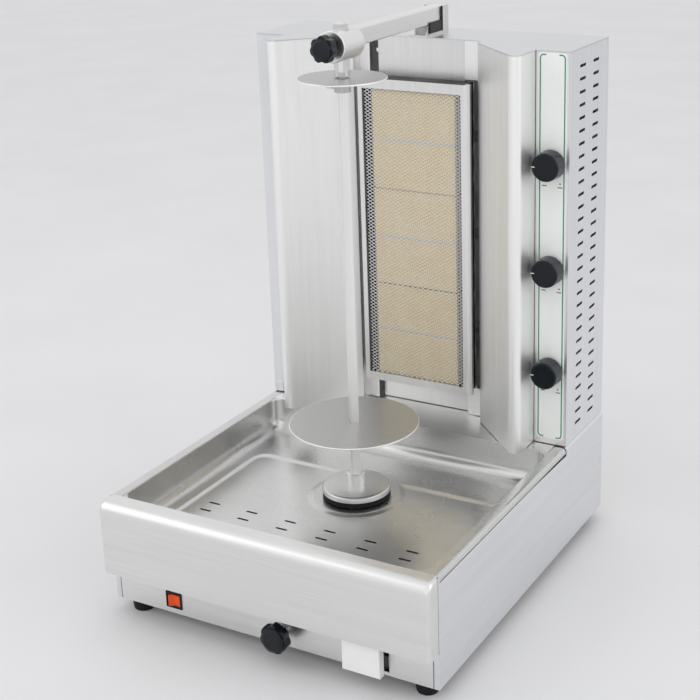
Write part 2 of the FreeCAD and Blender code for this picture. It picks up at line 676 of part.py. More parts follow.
def arm_bar():
    arm = slab(ARM_SIDE / 2, ARM_FRONT, ARM_REAR, ARM_TOP - ARM_SIDE, ARM_TOP)
    return fillet_where(arm, 2.0, lambda e: along(e, Y_AXIS))


def head_block():
    body = bar_y(0, HEAD_Z, HEAD_FRONT, ARM_FRONT, HEAD_R)
    body = fillet_where(body, 1.5, lambda e: not along(e, Y_AXIS))
    bore = post(0, SPIT_Y, HEAD_Z - 40, HEAD_Z + 40, SLEEVE_R + RUNNING_FIT)
    tapped = bar_y(0, HEAD_Z, HEAD_FRONT - 5, SPIT_Y, 4.0 + RUNNING_FIT)
    return cut(body, [bore, tapped])


def top_sleeve():
    tube = post(0, SPIT_Y, SLEEVE_BOTTOM, HEAD_Z + HEAD_R + 0.6, SLEEVE_R)
    tube = fillet_where(tube, 0.8, lambda e: middle(e).z < SLEEVE_BOTTOM + 0.1)
    return tube.cut(post(0, SPIT_Y, SLEEVE_BOTTOM - 1, Z_ROD_TOP + 5, PIN_R + RUNNING_FIT))


def top_nut():
    """A domed cap nut on the sleeve."""
    z0 = HEAD_Z + HEAD_R + 0.6
    corners = []
    for k in range(6):
        angle = math.radians(60 * k)
        corners.append((11.8 * math.cos(angle), SPIT_Y + 11.8 * math.sin(angle)))
    hexagonal = face_xy(corners, None, z0).extrude(V(0, 0, 6))
    rise, base_r = 4.5, 9.6
    dome_r = (base_r ** 2 + rise ** 2) / (2 * rise)
    ball = Part.makeSphere(dome_r, V(0, SPIT_Y, z0 + 6 + rise - dome_r))
    dome = ball.common(post(0, SPIT_Y, z0 + 5.5, z0 + 20, base_r))
    return fuse([hexagonal, dome])


# ---------------------------------------------------------------- tower
def vent_slots(x0, x1):
    """Two columns of thirty slots through a tower side panel."""
    slots = []
    for y in (513.0, 566.0):
        for row in range(30):
            z = 775.3 - 19.33 * row
            body = block(x0, x1, y - 9.3, y + 9.3, z - 2.2, z + 2.2)
            ends = [bar_x(y + s * 9.3, z, x0, x1, 2.2) for s in (-1, 1)]
            slots.append(fuse([body] + ends))
    return slots


def tower_right_panel():
    mid = SHEET / 2
    x = TOWER_HALF - mid
    path = [(x, Y_BACK), (x, Y_TOWER + SHEET + mid + 0.2), (x - 14, Y_TOWER + SHEET + mid + 0.2)]
    panel = folded_upright(path, [0, 0, 0], Z_TOWER, Z_TOWER_TOP)
    edge = block(TOWER_HALF - SHEET, TOWER_HALF, Y_TOWER, Y_TOWER + 5, Z_TOWER, Z_TOWER_TOP)
    return cut(fuse([panel, edge]), vent_slots(TOWER_HALF - 5, TOWER_HALF + 5))


def tower_left_panel():
    mid = SHEET / 2
    x = -TOWER_HALF + mid
    path = [(x, Y_BACK), (x, Y_TOWER + mid), (-218.5, Y_TOWER + mid)]
    panel = folded_upright(path, [0, 2.5, 0], Z_TOWER, Z_TOWER_TOP)
    tab = block(-TOWER_HALF + 2, -TOWER_HALF + 18, Y_TOWER - SHEET, Y_TOWER, Z_TOWER + 1, 207)
    return cut(fuse([panel, tab]), vent_slots(-TOWER_HALF - 5, -TOWER_HALF + 5))


def control_panel():
    panel = block(215, TOWER_HALF - SHEET - 0.2, Y_TOWER, Y_TOWER + SHEET, Z_TOWER, Z_TOWER_TOP)
    return cut(panel, [bar_y(VALVE_X, z, 450, 480, 5.5) for z in KNOB_Z])


def control_label():
    label = block(218.6, 263.0, Y_TOWER - 0.6, Y_TOWER, 199, 799)
    label = fillet_where(label, 5.0, lambda e: along(e, Y_AXIS))
    return cut(label, [bar_y(VALVE_X, z, 450, 480, 6.0) for z in KNOB_Z])


def heat_shield(inner_x):
    """The right wing: forward round its nose, back beside the burner, and in to inner_x."""
    path = SHIELD_PATH + [(inner_x, SHIELD_PATH[-1][1])]
    return folded_upright(path, SHIELD_BENDS, Z_TOWER, Z_TOWER_TOP)


def right_shield():
    """Its inner flange is cut away beside the burners, for the air that they draw."""
    return heat_shield(76.0).cut(block(70, 104, 512, 520, 237.5, 741))


def centre_back_panel():
    """The sheet behind the burners; below them it steps back."""
    y0, y1, z_step = 517.0, 527.0, 237.5
    upper = slab(75, y0, y0 + SHEET, z_step - SHEET, Z_TOWER_TOP)
    step = slab(75, y0, y1 + SHEET, z_step - SHEET, z_step)
    lower = slab(86, y1, y1 + SHEET, Z_TOWER, z_step)
    side = block(75 - SHEET, 75, y0, 548, z_step - SHEET, Z_TOWER_TOP)
    panel = fuse([upper, step, lower, side, mirrored(side)])
    return cut(panel, [bar_y(0, z, 510, 540, 11) for z in burner_middles()])


def tower_top_cap():
    """The top plate follows the front edges of the shields."""
    nose_x, nose_y = SHIELD_PATH[1]
    half = [
        (TOWER_HALF, Y_BACK), (TOWER_HALF, Y_TOWER), (nose_x + 1, Y_TOWER),
        (nose_x + 1, nose_y - 2.2), (SHIELD_PATH[2][0] - 1, SHIELD_PATH[2][1] - 0.4),
        (107.0, 508.5), (92.5, 514.6),
    ]
    radii = [2, 3, 0, 11.5, 3, 0, 2]
    points = half + [(-x, y) for x, y in half[::-1]]
    return face_xy(points, radii + radii[::-1], Z_TOWER_TOP + 0.2).extrude(V(0, 0, SHEET + 0.1))


def back_panel():
    """One sheet closes the base and the tower from behind."""
    low, high = HALF_W - SHEET - 0.3, TOWER_HALF - SHEET - 0.2
    points = [
        (-low, Z_BASE), (low, Z_BASE), (low, 184.5), (high, 184.5), (high, Z_TOWER_TOP),
        (-high, Z_TOWER_TOP), (-high, 184.5), (-low, 184.5),
    ]
    panel = face_xz(points, None, Y_BACK - SHEET).extrude(V(0, SHEET, 0))
    holes = [bar_y(GAS_X, GAS_Z, 600, 630, 10.7), bar_y(CABLE_X, CABLE_Z, 600, 630, 8.1)]
    for z in range(260, 761, 50):
        for x in (-100, 0, 100):
            holes.append(block(x - 35, x + 35, 600, 630, z - 3, z + 3))
    return cut(panel, holes)


# ---------------------------------------------------------------- burners
def burner_middles():
    return [BURNER_Z + BURNER_PITCH * i + TILE_H for i in range(BURNER_COUNT)]


def burner_housing():
    outer = slab(90, 482, 514.5, 238.5, 738.5)
    inner = slab(90 - SHEET, 481, 513, 240, 737)
    holes = [bar_y(0, z, 505, 530, 11) for z in burner_middles()]
    return cut(outer, [inner] + holes)


def burner_frame():
    """The cover frame: its sides wrap the housing, and the right one is a broad rounded nose."""
    outer = block(-94.4, 98.5, 479, 491, 238, 739)
    outer = fillet_where(outer, 9.0, lambda e: middle(e).y < 479.1 and middle(e).x > 98)
    outer = fillet_where(outer, 2.5, lambda e: middle(e).y < 479.1 and middle(e).x < -94)
    hollow = slab(90.4, 481.95, 495, 237, 740)
    window = slab(85.5, 470, 490, 251, 724)
    return cut(outer, [hollow, window])


def burner_mesh():
    """The guard grid in front of the tiles, pierced with staggered diamonds."""
    columns, rows = 8, 54
    width, height = 20.0, 17.5
    border = [V(x, 483, z) for x, z in ((-88, 244), (88, 244), (88, 732), (-88, 732))]
    wires = [outline(border, [0] * 4)]
    for row in range(rows):
        z = 488 + (row - (rows - 1) / 2) * height / 2
        shift = width / 4 if row % 2 else -width / 4
        for column in range(columns):
            x = (column - (columns - 1) / 2) * width + shift
            half_x, half_z = width / 2 - 1.5, height / 2 - 1.5
            corners = [V(x + half_x, 483, z), V(x, 483, z + half_z),
                       V(x - half_x, 483, z), V(x, 483, z - half_z)]
            wires.append(outline(corners, [0] * 4))
    return Part.makeFace(wires, "Part::FaceMakerBullseye").extrude(V(0, 1.0, 0))


def ceramic_tiles():
    tiles = []
    for i in range(BURNER_COUNT):
        for half in range(2):
            z = BURNER_Z + BURNER_PITCH * i + half * (TILE_H + 0.8)
            tiles.append(slab(TILE_W / 2, 487, 487 + TILE_T, z, z + TILE_H))
    return tiles


def burner_unit(z):
    """A burner's mixing chamber with its venturi tube, which runs to the gas jet."""
    chamber = slab(TILE_W / 2 + 2, 487 + TILE_T, 512.5, z - TILE_H + 1, z + TILE_H - 1)
    chamber = fillet_where(chamber, 4, lambda e: middle(e).y > 512.4)
    tube = fuse([
        bar_y(0, z, 511, VENTURI_Y, 9),
        Part.makeSphere(9, V(0, VENTURI_Y, z)),
        bar_x(VENTURI_Y, z, 0, 188, 9),
    ])
    bell = Part.makeCone(9, 13, 12, V(176, VENTURI_Y, z), X_AXIS)
    mouth = bar_x(VENTURI_Y, z, 150, 190, 7.5)
    return fuse([chamber, tube, bell]).cut(mouth)


def gas_valve(z):
    """A tap body with the pipe and jet that feed one burner."""
    body = block(VALVE_X - 12, VALVE_X + 12, 476, 522, z - 14, z + 14)
    body = fillet_where(body, 3, lambda e: along(e, Y_AXIS))
    gland = bar_y(VALVE_X, z, 470, 477, 9)
    pipe = fuse([
        bar_x(505, z, 205, VALVE_X - 11, 3.5),
        Part.makeSphere(3.5, V(205, 505, z)),
        bar_y(205, z, 505, VENTURI_Y, 3.5),
        Part.makeSphere(3.5, V(205, VENTURI_Y, z)),
        bar_x(VENTURI_Y, z, 191, 205, 3.5),
    ])
    bore = bar_y(VALVE_X, z, 460, 506, PLUNGER_R + RUNNING_FIT)
    return fuse([body, gland, pipe]).cut(bore)


def valve_plunger(z):
    """The sprung piece behind a knob's stem, which the knob pushes in."""
    return bar_y(VALVE_X, z, PLUNGER_Y, PLUNGER_Y + 18, PLUNGER_R)


def gas_manifold():
    riser = post(GAS_X, MANIFOLD_Y, GAS_Z, 690, 9)
    elbow = Part.makeSphere(9, V(GAS_X, MANIFOLD_Y, GAS_Z))
    leg = bar_y(GAS_X, GAS_Z, MANIFOLD_Y, 609.9, 9)
    stubs = [bar_y(GAS_X, z, 522.05, MANIFOLD_Y, 6) for z in KNOB_Z]
    return fuse([riser, elbow, leg] + stubs)


def gas_inlet():
    """The half-inch threaded connection on the back."""
    flange = bar_y(GAS_X, GAS_Z, 610, Y_BACK - SHEET - 0.05, 14)
    neck = bar_y(GAS_X, GAS_Z, 612, Y_INLET_END - 1.5, INLET_R)
    tip = Part.makeCone(INLET_R, INLET_R - 1.2, 1.5, V(GAS_X, Y_INLET_END - 1.5, GAS_Z), Y_AXIS)
    nut = hexagon(GAS_X, GAS_Z, Y_BACK + 0.05, Y_BACK + 8, 16)
    bore = bar_y(GAS_X, GAS_Z, 614, Y_INLET_END + 1, 7)
    return fuse([flange, neck, tip, nut]).cut(bore)


def cable_gland():
    """The gland that a mains lead comes in through."""
    locknut = hexagon(CABLE_X, CABLE_Z, 611, Y_BACK - SHEET - 0.05, 12.5)
    neck = bar_y(CABLE_X, CABLE_Z, 611, Y_BACK + 5, 8.0)
    nut = hexagon(CABLE_X, CABLE_Z, Y_BACK + 0.05, Y_BACK + 6, 12.5)
    profile = [(0, Y_BACK + 5), (10.5, Y_BACK + 5), (10.5, Y_BACK + 12), (7.0, Y_BACK + 17),
               (0, Y_BACK + 17)]
    dome = turned_y(profile, CABLE_X, CABLE_Z)
    bore = bar_y(CABLE_X, CABLE_Z, 600, Y_BACK + 30, 3.6)
    return fuse([locknut, neck, nut, dome]).cut(bore)


def control_knob(z):
    """A round control knob and its stem, which reaches the plunger."""
    y0, y1 = 437.0, 460.6
    profile = [
        (0, y0), (KNOB_R - 4.0, y0), (KNOB_R - 2.2, y0 + 0.6), (KNOB_R - 1.2, y0 + 2.4),
        (KNOB_R, y1 - 2.0), (KNOB_R, y1), (0, y1),
    ]
    cap = turned_y(profile, VALVE_X, z)
    hollow = bar_y(VALVE_X, z, y0 + 5, y1 + 1, KNOB_R - 3.5).cut(
        bar_y(VALVE_X, z, y0, y1 + 2, 8))
    stem = bar_y(VALVE_X, z, y0 + 5, PLUNGER_Y, 4.0)
    return fuse([cap.cut(hollow), stem])


# ---------------------------------------------------------------- all nodes
def build():
    right_base = base_side_panel()
    write("base_floor", base_floor())
    write("base_left_panel", mirrored(right_base))
    write("base_right_panel", right_base)
    write("back_panel", back_panel())
    write("plinth_front", plinth_front())
    write("front_apron", front_apron())
    write("drip_pan", drip_pan())
    write("rear_deck", rear_deck())
    write("feet", [foot(x, y) for x, y in FOOT_PLACES])

    write("grease_drawer", drawer_tray())
    write("drawer_front", drawer_front())
    right_runner = drawer_runner()
    left_runner = mirrored(right_runner)
    left_runner.translate(V(DRAWER_X0 + DRAWER_X1, 0, 0))
    write("drawer_runners", [left_runner, right_runner])
    write("grease_gutter", grease_gutter())

    write("switch_housing", switch_housing())
    write("switch_rocker", switch_rocker())

    right_rail = carriage_rail()
    write("carriage_rails", [mirrored(right_rail), right_rail])
    write("motor_carriage", motor_carriage())
    write("gearbox_housing", gearbox_housing())
    write("drive_motor", drive_motor())
    write("motor_pinion", motor_pinion())

    write("drive_gear", drive_gear())
    write("drive_shaft", drive_shaft())
    write("turntable", turntable())
    write("turntable_seal", turntable_seal())
    write("spit_rod", spit_rod())
    write("lower_disc", spit_disc(LOWER_DISC, 14.0))
    write("lower_disc_screw", disc_screw(LOWER_DISC, 14.0))
    write("upper_disc", spit_disc(UPPER_DISC, 12.0))
    write("upper_disc_screw", disc_screw(UPPER_DISC, 12.0))

    write("adjuster_rod", bar_y(ADJUSTER_X, ADJUSTER_Z, Y_KNOB + 20, 222, 5.0))
    write("adjuster_knob", adjuster_knob())

    write("tower_left_panel", tower_left_panel())
    write("tower_right_panel", tower_right_panel())
    write("tower_top_cap", tower_top_cap())
    write("left_shield", mirrored(heat_shield(90.0)))
    write("right_shield", right_shield())
    write("control_panel", control_panel())
    write("control_label", control_label())
    write("centre_back_panel", centre_back_panel())

    write("burner_housing", burner_housing())
    write("burner_frame", burner_frame())
    write("burner_mesh", burner_mesh())
    write("ceramic_tiles", ceramic_tiles())
    write("burner_units", [burner_unit(z) for z in burner_middles()])

    write("gas_manifold", gas_manifold())
    write("gas_valves", [gas_valve(z) for z in KNOB_Z])
    write("gas_inlet", gas_inlet())
    write("cable_gland", cable_gland())
    for i, z in enumerate(KNOB_Z, 1):
        write("valve_plunger_%d" % i, valve_plunger(z))
        write("knob_%d" % i, control_knob(z))

    write("arm_bracket", arm_bracket())
    write("arm_bar", arm_bar())
    write("head_block", head_block())
    write("top_sleeve", top_sleeve())
    write("top_nut", top_nut())
    write("head_knob", head_knob())


os.makedirs("parts", exist_ok=True)
build()
print(len(PARTS), "nodes written")
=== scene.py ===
"""Vertical gas rotisserie oven: looks, detail pieces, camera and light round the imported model."""

import json
import math

import bmesh
import bpy
from mathutils import Matrix, Vector


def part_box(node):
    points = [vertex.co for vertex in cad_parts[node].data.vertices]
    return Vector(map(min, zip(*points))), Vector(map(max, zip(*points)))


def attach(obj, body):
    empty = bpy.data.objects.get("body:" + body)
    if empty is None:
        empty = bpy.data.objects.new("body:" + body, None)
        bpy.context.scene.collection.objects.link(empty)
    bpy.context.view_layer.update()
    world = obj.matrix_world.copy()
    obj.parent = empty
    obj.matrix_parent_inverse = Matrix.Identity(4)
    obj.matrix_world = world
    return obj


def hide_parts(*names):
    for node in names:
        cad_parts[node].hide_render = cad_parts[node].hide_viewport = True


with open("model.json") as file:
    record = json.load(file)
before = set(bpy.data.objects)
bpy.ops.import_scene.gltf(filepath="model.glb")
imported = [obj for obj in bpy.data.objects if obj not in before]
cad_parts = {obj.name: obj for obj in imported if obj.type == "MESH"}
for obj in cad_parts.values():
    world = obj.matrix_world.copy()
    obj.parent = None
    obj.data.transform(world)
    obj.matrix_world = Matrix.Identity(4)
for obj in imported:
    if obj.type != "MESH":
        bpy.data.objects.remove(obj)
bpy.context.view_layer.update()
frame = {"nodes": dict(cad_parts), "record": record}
BOX = {node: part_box(node) for node in frame["nodes"]}
SLOT_OF = {s["node"]: s["material_slot"] for s in frame["record"]["subparts"]}


def box_of(node):
    """Lowest and highest corner and centre of a CAD node, as vectors."""
    low, high = (Vector(c) for c in BOX[node])
    return low, high, (low + high) / 2


# ---------------------------------------------------------------- node graphs
class Graph:
    """A material's node tree with short calls for the nodes used here."""

    def __init__(self, name):
        self.material = bpy.data.materials.new(name)
        self.material.use_nodes = True
        self.tree = self.material.node_tree
        self.shader = self.tree.nodes["Principled BSDF"]
        self.coords = self.tree.nodes.new("ShaderNodeTexCoord").outputs["Object"]

    def link(self, source, target):
        self.tree.links.new(source, target)

    def set(self, **values):
        for name, value in values.items():
            self.shader.inputs[name.replace("_", " ")].default_value = value

    def mapping(self, scale, rotation=(0, 0, 0)):
        node = self.tree.nodes.new("ShaderNodeMapping")
        node.inputs["Scale"].default_value = scale
        node.inputs["Rotation"].default_value = rotation
        self.link(self.coords, node.inputs["Vector"])
        return node.outputs["Vector"]

    def noise(self, vector, scale=1.0, detail=2.0, roughness=0.5):
        node = self.tree.nodes.new("ShaderNodeTexNoise")
        node.inputs["Scale"].default_value = scale
        node.inputs["Detail"].default_value = detail
        node.inputs["Roughness"].default_value = roughness
        self.link(vector, node.inputs["Vector"])
        return node.outputs["Fac"]

    def ramp(self, value, stops):
        node = self.tree.nodes.new("ShaderNodeValToRGB")
        ramp = node.color_ramp
        while len(ramp.elements) < len(stops):
            ramp.elements.new(0.5)
        for element, (position, colour) in zip(ramp.elements, stops):
            element.position = position
            element.color = (*colour, 1.0)
        self.link(value, node.inputs["Fac"])
        return node.outputs["Color"]

    def span(self, value, low, high, from_low=0.3, from_high=0.7):
        node = self.tree.nodes.new("ShaderNodeMapRange")
        node.inputs["From Min"].default_value = from_low
        node.inputs["From Max"].default_value = from_high
        node.inputs["To Min"].default_value = low
        node.inputs["To Max"].default_value = high
        self.link(value, node.inputs["Value"])
        return node.outputs["Result"]

    def math(self, operation, a, b=None):
        node = self.tree.nodes.new("ShaderNodeMath")
        node.operation = operation
        for socket, value in zip(node.inputs, (a, b)):
            if value is None:
                continue
            if isinstance(value, (int, float)):
                socket.default_value = value
            else:
                self.link(value, socket)
        return node.outputs["Value"]

    def split(self, vector):
        node = self.tree.nodes.new("ShaderNodeSeparateXYZ")
        self.link(vector, node.inputs["Vector"])
        return node.outputs["X"], node.outputs["Y"], node.outputs["Z"]

    def mix(self, factor, a, b):
        node = self.tree.nodes.new("ShaderNodeMix")
        node.data_type = "RGBA"
        self.link(factor, node.inputs["Factor"])
        for key, value in (("A", a), ("B", b)):
            socket = [s for s in node.inputs if s.name == key and s.type == "RGBA"][0]
            if isinstance(value, tuple):
                socket.default_value = (*value, 1.0)
            else:
                self.link(value, socket)
        return [s for s in node.outputs if s.type == "RGBA"][0]

    def bump(self, height, strength, distance):
        node = self.tree.nodes.new("ShaderNodeBump")
        node.inputs["Strength"].default_value = strength
        node.inputs["Distance"].default_value = distance
        self.link(height, node.inputs["Height"])
        return node.outputs["Normal"]

    def length(self, a, b):
        squares = self.math("ADD", self.math("MULTIPLY", a, a), self.math("MULTIPLY", b, b))
        return self.math("SQRT", squares)

    def spit_distance(self):
        """How far a point is from the spit's axis."""
        x, y, _ = self.split(self.coords)
        return self.length(self.math("SUBTRACT", x, SPIT.x), self.math("SUBTRACT", y, SPIT.y))

    def colour(self, socket):
        self.link(socket, self.shader.inputs["Base Color"])

    def roughness(self, socket):
        self.link(socket, self.shader.inputs["Roughness"])

    def normal(self, socket):
        self.link(socket, self.shader.inputs["Normal"])


STEEL_TINT = (1.0, 0.998, 0.990)
# Painted light: a cool cast on the side panels and the cap, for the bluish light on those faces.
COOL_LIGHT_TINT = (0.985, 0.995, 1.025)
SHADOW = (0.05, 0.05, 0.05)
# Colour of the painted highlight on the discs' edges.
EDGE_HIGHLIGHT = (0.95, 0.95, 0.95)


def grey(level):
    return tuple(level * t for t in STEEL_TINT)


def brushed(name, along, bright=0.80, rough=0.28, spread=0.07, tint=STEEL_TINT, seam_shade=None, rim=None):
    """Ground stainless sheet; along is the axis index its grain runs along.

    A seam (x, y) paints shade on the sheet's edge beyond that distance from the middle and behind that y:
    a painted shadow line for the gap at the seam.
    A rim is the radius round the spit from which a disc's edge is painted bright: a painted highlight
    where the edge catches the light.
    """
    g = Graph(name)
    # scales of the noise, high across the grain and low along it
    fine = [900.0] * 3
    fine[along] = 9.0
    coarse = [90.0] * 3
    coarse[along] = 2.5
    streaks = g.noise(g.mapping(fine), 1.0, 3.0, 0.6)
    bands = g.noise(g.mapping(coarse), 1.0, 2.0, 0.5)
    clouds = g.noise(g.coords, 7.0, 3.0, 0.55)
    tone = g.math("ADD", g.math("MULTIPLY", streaks, 0.55), g.math("MULTIPLY", bands, 0.45))
    shades = [(0.30, bright * 0.94), (0.5, bright), (0.72, bright * 1.05)]
    steel = g.ramp(tone, [(stop, tuple(shade * t for t in tint)) for stop, shade in shades])
    # Painted shade: a dark line at the sheet's ends for the shadow in the gap at its seam.
    if seam_shade is not None:
        x, y, _ = g.split(g.coords)
        outside = g.math("GREATER_THAN", g.math("ABSOLUTE", x), seam_shade[0])
        edge = g.math("MULTIPLY", outside, g.math("GREATER_THAN", y, seam_shade[1]))
        steel = g.mix(edge, steel, SHADOW)
    # Painted highlight: a bright band on a disc's edge where it catches the light.
    if rim is not None:
        steel = g.mix(g.math("GREATER_THAN", g.spit_distance(), rim), steel, EDGE_HIGHLIGHT)
    g.colour(steel)
    smear = g.math("ADD", g.math("MULTIPLY", bands, 0.6), g.math("MULTIPLY", clouds, 0.4))
    g.roughness(g.span(smear, rough, rough + spread))
    g.normal(g.bump(streaks, 0.07, 0.0003))
    g.set(Metallic=1.0)
    return g.material


def chrome(name):
    g = Graph(name)
    smudge = g.noise(g.coords, 60.0, 3.0)
    g.colour(g.ramp(smudge, [(0.3, grey(0.72)), (0.7, grey(0.80))]))
    g.roughness(g.span(smudge, 0.05, 0.14))
    g.set(Metallic=1.0)
    return g.material


def cast(name, bright, rough, turned=False):
    """Cast metal with a fine grain, and turning marks round a vertical axis where it has one."""
    g = Graph(name)
    grain = g.noise(g.coords, 900.0, 3.0, 0.6)
    g.set(Metallic=1.0)
    g.colour(g.ramp(grain, [(0.3, grey(bright * 0.85)), (0.7, grey(bright))]))
    if not turned:
        g.roughness(g.span(grain, rough, rough + 0.12))
        g.normal(g.bump(grain, 0.25, 0.0004))
        return g.material
    turning_marks = 1500.0      # scale of their noise, along the radius
    node = g.tree.nodes.new("ShaderNodeCombineXYZ")
    g.link(g.math("MULTIPLY", g.spit_distance(), turning_marks), node.inputs["X"])
    rings = g.noise(node.outputs["Vector"], 1.0, 2.0, 0.7)
    g.roughness(g.span(rings, rough - 0.04, rough + 0.08))
    g.normal(g.bump(rings, 0.18, 0.0004))
    return g.material


def plastic(name, colour, rough, bump, shine, coat=0.0):
    """Moulded plastic or rubber with a faint texture and dust."""
    g = Graph(name)
    pores = g.noise(g.coords, 700.0, 2.0)
    dust = g.noise(g.coords, 45.0, 4.0, 0.6)
    dark = tuple(c * 0.85 for c in colour)
    light = tuple(min(1.0, c * 1.12 + 0.003) for c in colour)
    g.colour(g.ramp(dust, [(0.32, dark), (0.70, light)]))
    g.roughness(g.span(dust, rough - 0.03, rough + 0.06))
    g.normal(g.bump(pores, bump, 0.0003))
    g.set(Specular_IOR_Level=shine, Coat_Weight=coat, Coat_Roughness=0.06)
    return g.material


def pressed_sheet(name):
    """Deep-drawn sheet with a satin shine, faint rolling lines and cloudy wiping marks."""
    g = Graph(name)
    clouds = g.noise(g.coords, 9.0, 4.0, 0.55)
    wipes = g.noise(g.mapping((9.0, 30.0, 9.0), (0, 0, 0.5)), 1.0, 2.0, 0.5)
    lines = g.noise(g.mapping((4.0, 160.0, 160.0)), 1.0, 2.0, 0.5)
    tone = g.math("ADD", g.math("MULTIPLY", clouds, 0.7), g.math("MULTIPLY", wipes, 0.3))
    g.colour(g.ramp(tone, [(0.3, grey(0.64)), (0.7, grey(0.72))]))
    g.roughness(g.span(tone, 0.25, 0.31))
    g.normal(g.bump(lines, 0.02, 0.0001))
    g.set(Metallic=1.0)
    return g.material


def shaded_housing(name):
    """Near-black sheet steel: painted shade for the dark gaps round the burners."""
    g = Graph(name)
    blotches = g.noise(g.coords, 26.0, 4.0, 0.6)
    # Painted shade: near-black so the gaps round the burners read as shadow.
    g.colour(g.ramp(blotches, [(0.35, (0.008, 0.008, 0.008)), (0.75, (0.03, 0.028, 0.025))]))
    g.roughness(g.span(blotches, 0.45, 0.65))
    g.set(Metallic=0.4)
    return g.material


KNOB_FACE_DEPTH = 0.0016    # from a knob's front to where its wall and its painted reflection start


def knob_finish(name):
    """Glossy control knob: near-black face, greyer and duller round its wall, where the grey is a painted
    reflection of the label.
    """
    g = Graph(name)
    _, y, _ = g.split(g.coords)
    dust = g.noise(g.coords, 60.0, 3.0, 0.6)
    wall_reflection = g.math("GREATER_THAN", y, box_of("knob_2")[0].y + KNOB_FACE_DEPTH)
    dark = g.ramp(dust, [(0.3, (0.002, 0.004, 0.007)), (0.7, (0.004, 0.007, 0.011))])
    # Painted reflection: the wall is painted greyer for the white label it reflects.
    side = g.ramp(dust, [(0.3, (0.022, 0.027, 0.036)), (0.7, (0.034, 0.040, 0.052))])
    g.colour(g.mix(wall_reflection, dark, side))
    g.roughness(g.span(dust, 0.14, 0.20))
    g.set(Specular_IOR_Level=0.30)
    return g.material


# The black slider pad: its two ends from the bracket's front, and its foot from the bracket's underside
PAD_START, PAD_END = 0.0155, 0.0562
PAD_FOOT = 0.0045


def bracket_finish(name):
    """Bright post and base; the slider pad between them is black."""
    g = Graph(name)
    low = box_of("arm_bracket")[0]
    _, y, z = g.split(g.coords)
    streaks = g.noise(g.mapping((300.0, 300.0, 9.0)), 1.0, 3.0, 0.6)
    behind = g.math("GREATER_THAN", y, low.y + PAD_START)
    before = g.math("LESS_THAN", y, low.y + PAD_END)
    above = g.math("GREATER_THAN", z, low.z + PAD_FOOT)
    pad = g.math("MULTIPLY", g.math("MULTIPLY", behind, before), above)
    steel = g.ramp(streaks, [(0.3, grey(0.68)), (0.7, grey(0.76))])
    g.colour(g.mix(pad, steel, (0.01, 0.01, 0.012)))
    g.roughness(g.math("ADD", g.span(streaks, 0.20, 0.30), g.math("MULTIPLY", pad, 0.25)))
    g.link(g.math("SUBTRACT", 1.0, pad), g.shader.inputs["Metallic"])
    return g.material


def enamel(name, colour, rough):
    """Sprayed paint with a little orange peel."""
    g = Graph(name)
    peel = g.noise(g.coords, 320.0, 2.0)
    stain = g.noise(g.coords, 22.0, 4.0, 0.6)
    g.colour(g.ramp(stain, [(0.3, tuple(c * 0.95 for c in colour)), (0.7, colour)]))
    g.roughness(g.span(stain, rough, rough + 0.08))
    g.normal(g.bump(peel, 0.08, 0.0005))
    return g.material


BURNERS = 3
TILE_GAP = 2.4e-3           # gap between the tiles of two burners
TILE_JOINT = 0.4925         # where a burner's two rows of tiles meet, as a part of its height
HOLE_PITCH = 2.6e-3         # between the tiles' holes along a row
ROW_RISE = 0.866            # between the rows of holes, in pitches


def ceramic(name):
    """Radiant tile: beige ceramic pierced by rows of fine holes, painted dark for the shade inside them.
    """
    g = Graph(name)
    x, _, z = g.split(g.coords)
    row = g.math("DIVIDE", z, HOLE_PITCH * ROW_RISE)
    shift = g.math("MULTIPLY", g.math("MODULO", g.math("FLOOR", row), 2.0), 0.5)
    column = g.math("ADD", g.math("DIVIDE", x, HOLE_PITCH), shift)
    u = g.math("SUBTRACT", g.math("FRACT", column), 0.5)
    v = g.math("MULTIPLY", g.math("SUBTRACT", g.math("FRACT", row), 0.5), ROW_RISE)
    away = g.length(u, v)
    solid = g.span(away, 0.0, 1.0, 0.20, 0.30)
    tone = g.noise(g.coords, 38.0, 3.0)
    clay = g.ramp(tone, [(0.3, (0.97, 0.77, 0.35)), (0.7, (1.0, 0.87, 0.48))])
    # Painted shade: the holes are painted dark brown for the shade inside them.
    clay_with_shaded_holes = g.mix(solid, (0.42, 0.30, 0.14), clay)
    low, high, _ = box_of("ceramic_tiles")
    pitch_z = (high.z - low.z + TILE_GAP) / BURNERS
    along = g.math("FRACT", g.math("DIVIDE", g.math("SUBTRACT", z, low.z), pitch_z))
    from_joint = g.math("ABSOLUTE", g.math("SUBTRACT", along, TILE_JOINT))
    joint = g.span(from_joint, 1.0, 0.0, 0.010, 0.014)
    g.colour(g.mix(joint, clay_with_shaded_holes, (0.72, 0.70, 0.64)))
    g.set(Roughness=0.85)
    g.normal(g.bump(solid, 0.7, 0.0008))
    return g.material


def brass(name):
    g = Graph(name)
    tone = g.noise(g.coords, 120.0, 3.0)
    g.colour(g.ramp(tone, [(0.3, (0.52, 0.36, 0.14)), (0.7, (0.72, 0.53, 0.24))]))
    g.roughness(g.span(tone, 0.25, 0.40))
    g.set(Metallic=1.0)
    return g.material


SPIT = box_of("turntable")[2]
APRON_EDGE = box_of("front_apron")[1]
PLINTH_EDGE = box_of("plinth_front")[1]
SIDE_FRONT = box_of("base_left_panel")[0]
SIDE_GAP = 0.0011           # how far before the side panel its painted seam shadow starts
APRON_SEAM_SHADE, PLINTH_SEAM_SHADE = 0.0004, 0.0009        # width of the painted shadow line at a sheet's ends
LOWER_HIGHLIGHT_WIDTH, UPPER_HIGHLIGHT_WIDTH = 0.0011, 0.0009       # width of the painted highlight on a disc's edge
LOWER_HIGHLIGHT_FROM = box_of("lower_disc")[1].x - SPIT.x - LOWER_HIGHLIGHT_WIDTH
UPPER_HIGHLIGHT_FROM = box_of("upper_disc")[1].x - SPIT.x - UPPER_HIGHLIGHT_WIDTH

